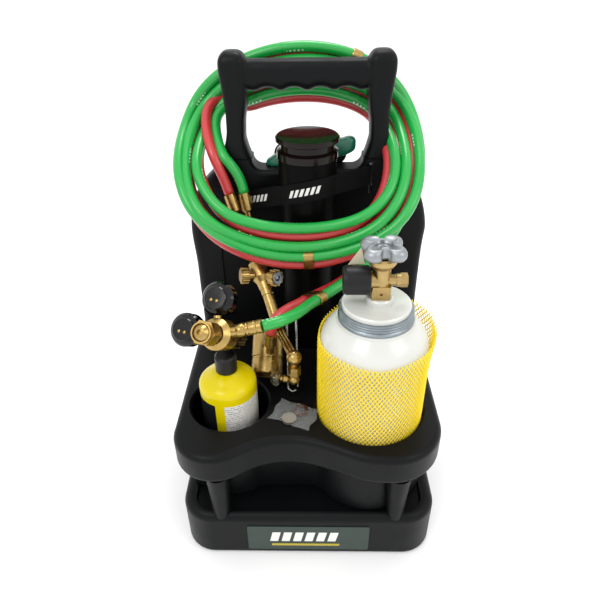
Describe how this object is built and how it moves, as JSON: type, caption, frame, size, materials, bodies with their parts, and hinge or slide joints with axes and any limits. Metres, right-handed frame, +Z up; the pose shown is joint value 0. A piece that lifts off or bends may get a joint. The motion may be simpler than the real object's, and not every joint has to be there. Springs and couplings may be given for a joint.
{
  "type": "oxy acetylene torch cart",
  "caption": "Hand-carried moulded stand holding an oxygen cylinder, a slim fuel cylinder, regulators, a brass torch, a rod tube and coiled twin hoses looped over its handle.",
  "frame": {"origin": "on the floor under the middle of the stand's own box", "axes": "+Z up, -Y towards the front with the label, +X to the right seen from the front"},
  "size_m": [0.3422, 0.3529, 0.611],
  "materials": {
    "stand_plastic": "fine textured black polyethylene",
    "label_film": "satin printed film",
    "tube_plastic": "semi-gloss black extrusion",
    "cap_plastic": "glossy dark moulding",
    "strap_web": "woven nylon",
    "white_enamel": "gloss enamel",
    "zinc": "zinc plated, dull",
    "brass": "machined",
    "wheel_alloy": "die cast, dull grey",
    "cap_black": "gloss moulding",
    "net_plastic": "soft polyethylene mesh",
    "yellow_enamel": "gloss enamel",
    "valve_steel": "plated",
    "gauge_black": "gloss black enamel",
    "dial_white": "matt white",
    "gauge_glass": "clear",
    "pointer_black": "matt",
    "hose_green": "ribbed rubber",
    "hose_red": "ribbed rubber",
    "spring_wire": "drawn wire",
    "goggle_green": "semi-gloss",
    "clear_film": "thin clear polythene",
    "copper": "dull copper"
  },
  "bodies": {
    "stand": {"carrier_base": "stand_plastic", "carrier_waist": "stand_plastic", "carrier_shelf": "stand_plastic", "shelf_posts": "stand_plastic", "carrier_back_panel": "stand_plastic", "carrier_handle": "stand_plastic", "label_plate": "label_film", "rod_tube": "tube_plastic", "tube_strap": "strap_web", "spare_disc": "zinc", "regulator_body": "brass", "regulator_bonnet": "brass", "inlet_nipple": "brass", "oxygen_hose_fitting": "brass", "fuel_regulator_body": "brass", "fuel_inlet_stem": "brass", "fuel_hose_fitting": "brass", "torch_body": "brass", "torch_handle": "brass", "torch_tubes": "brass", "torch_head": "brass", "torch_nipple": "brass", "torch_inlets": "brass", "torch_ferrules": "brass", "hose_clips": "brass", "fuel_cap": "cap_black", "fuel_cylinder": "yellow_enamel", "fuel_valve": "valve_steel", "torch_tip_nut": "valve_steel", "gauge_cases": "gauge_black", "gauge_dials": "dial_white", "gauge_lenses": "gauge_glass", "hose_coil": "hose_green", "oxygen_hose_lead": "hose_green", "torch_lead_green": "hose_green", "fuel_hose_lead": "hose_red", "torch_lead_red": "hose_red", "lighter_bow": "spring_wire", "goggles": "goggle_green", "spares_bag": "clear_film", "spare_ring": "copper"},
    "tube_cap_body": {"tube_cap": "cap_plastic"},
    "oxygen_bottle": {"oxygen_cylinder": "white_enamel", "oxygen_neck_ring": "zinc", "oxygen_top_plate": "white_enamel", "oxygen_neck_boss": "white_enamel", "oxygen_valve_body": "brass", "oxygen_gland_nut": "brass", "oxygen_safety_plug": "brass", "cylinder_net": "net_plastic"},
    "valve_wheel": {"oxygen_handwheel": "wheel_alloy", "oxygen_spindle": "zinc"},
    "outlet_cap": {"oxygen_outlet_cap": "cap_black"},
    "pressure_knob": {"regulator_knob": "cap_black"},
    "inlet_union": {"inlet_nut": "brass"},
    "high_pointer": {"needle_high": "pointer_black"},
    "low_pointer": {"needle_low": "pointer_black"},
    "torch_oxygen_valve": {"torch_knob_oxygen": "brass"},
    "torch_fuel_valve": {"torch_knob_fuel": "brass"},
    "lighter_spring_arm": {"lighter_arm": "spring_wire"}
  },
  "joints": [
    {"name": "tube_cap_pull", "type": "slide", "parent": "stand", "child": "tube_cap_body", "axis": [0, 0, 1], "range_m": [0, 0.04]},
    {"name": "oxygen_lift_out", "type": "slide", "parent": "stand", "child": "oxygen_bottle", "axis": [0, 0, 1], "range_m": [0, 0.19]},
    {"name": "valve_wheel_turn", "type": "hinge", "parent": "oxygen_bottle", "child": "valve_wheel", "pos_m": [0.084, -0.063, 0.43], "axis": [0, 0, 1], "continuous": true},
    {"name": "outlet_cap_pull", "type": "slide", "parent": "oxygen_bottle", "child": "outlet_cap", "axis": [-1, 0, 0], "range_m": [0, 0.03]},
    {"name": "pressure_knob_turn", "type": "hinge", "parent": "stand", "child": "pressure_knob", "pos_m": [-0.108, -0.073, 0.3215], "axis": [0.2702, 0.7405, -0.6154], "continuous": true},
    {"name": "inlet_union_turn", "type": "hinge", "parent": "stand", "child": "inlet_union", "pos_m": [-0.108, -0.073, 0.3215], "axis": [0.2702, 0.7405, -0.6154], "continuous": true},
    {"name": "high_pointer_swing", "type": "hinge", "parent": "stand", "child": "high_pointer", "pos_m": [-0.15184, -0.06655, 0.32465], "axis": [0.2702, 0.7405, -0.6154], "range_deg": [0, 270]},
    {"name": "low_pointer_swing", "type": "hinge", "parent": "stand", "child": "low_pointer", "pos_m": [-0.11142, -0.05166, 0.36031], "axis": [0.2702, 0.7405, -0.6154], "range_deg": [0, 270]},
    {"name": "torch_oxygen_valve_turn", "type": "hinge", "parent": "stand", "child": "torch_oxygen_valve", "pos_m": [-0.0634, 0.054, 0.329], "axis": [0.7506, -0.6289, 0.2029], "continuous": true},
    {"name": "torch_fuel_valve_turn", "type": "hinge", "parent": "stand", "child": "torch_fuel_valve", "pos_m": [-0.0634, 0.054, 0.329], "axis": [-0.9258, -0.3421, 0.161], "continuous": true},
    {"name": "lighter_squeeze", "type": "hinge", "parent": "stand", "child": "lighter_spring_arm", "pos_m": [-0.02569, 0.03881, 0.27855], "axis": [0, 0.6676, -0.7445], "range_deg": [-2, 2], "stiffness_Nm_per_rad": 0.3}
  ]
}
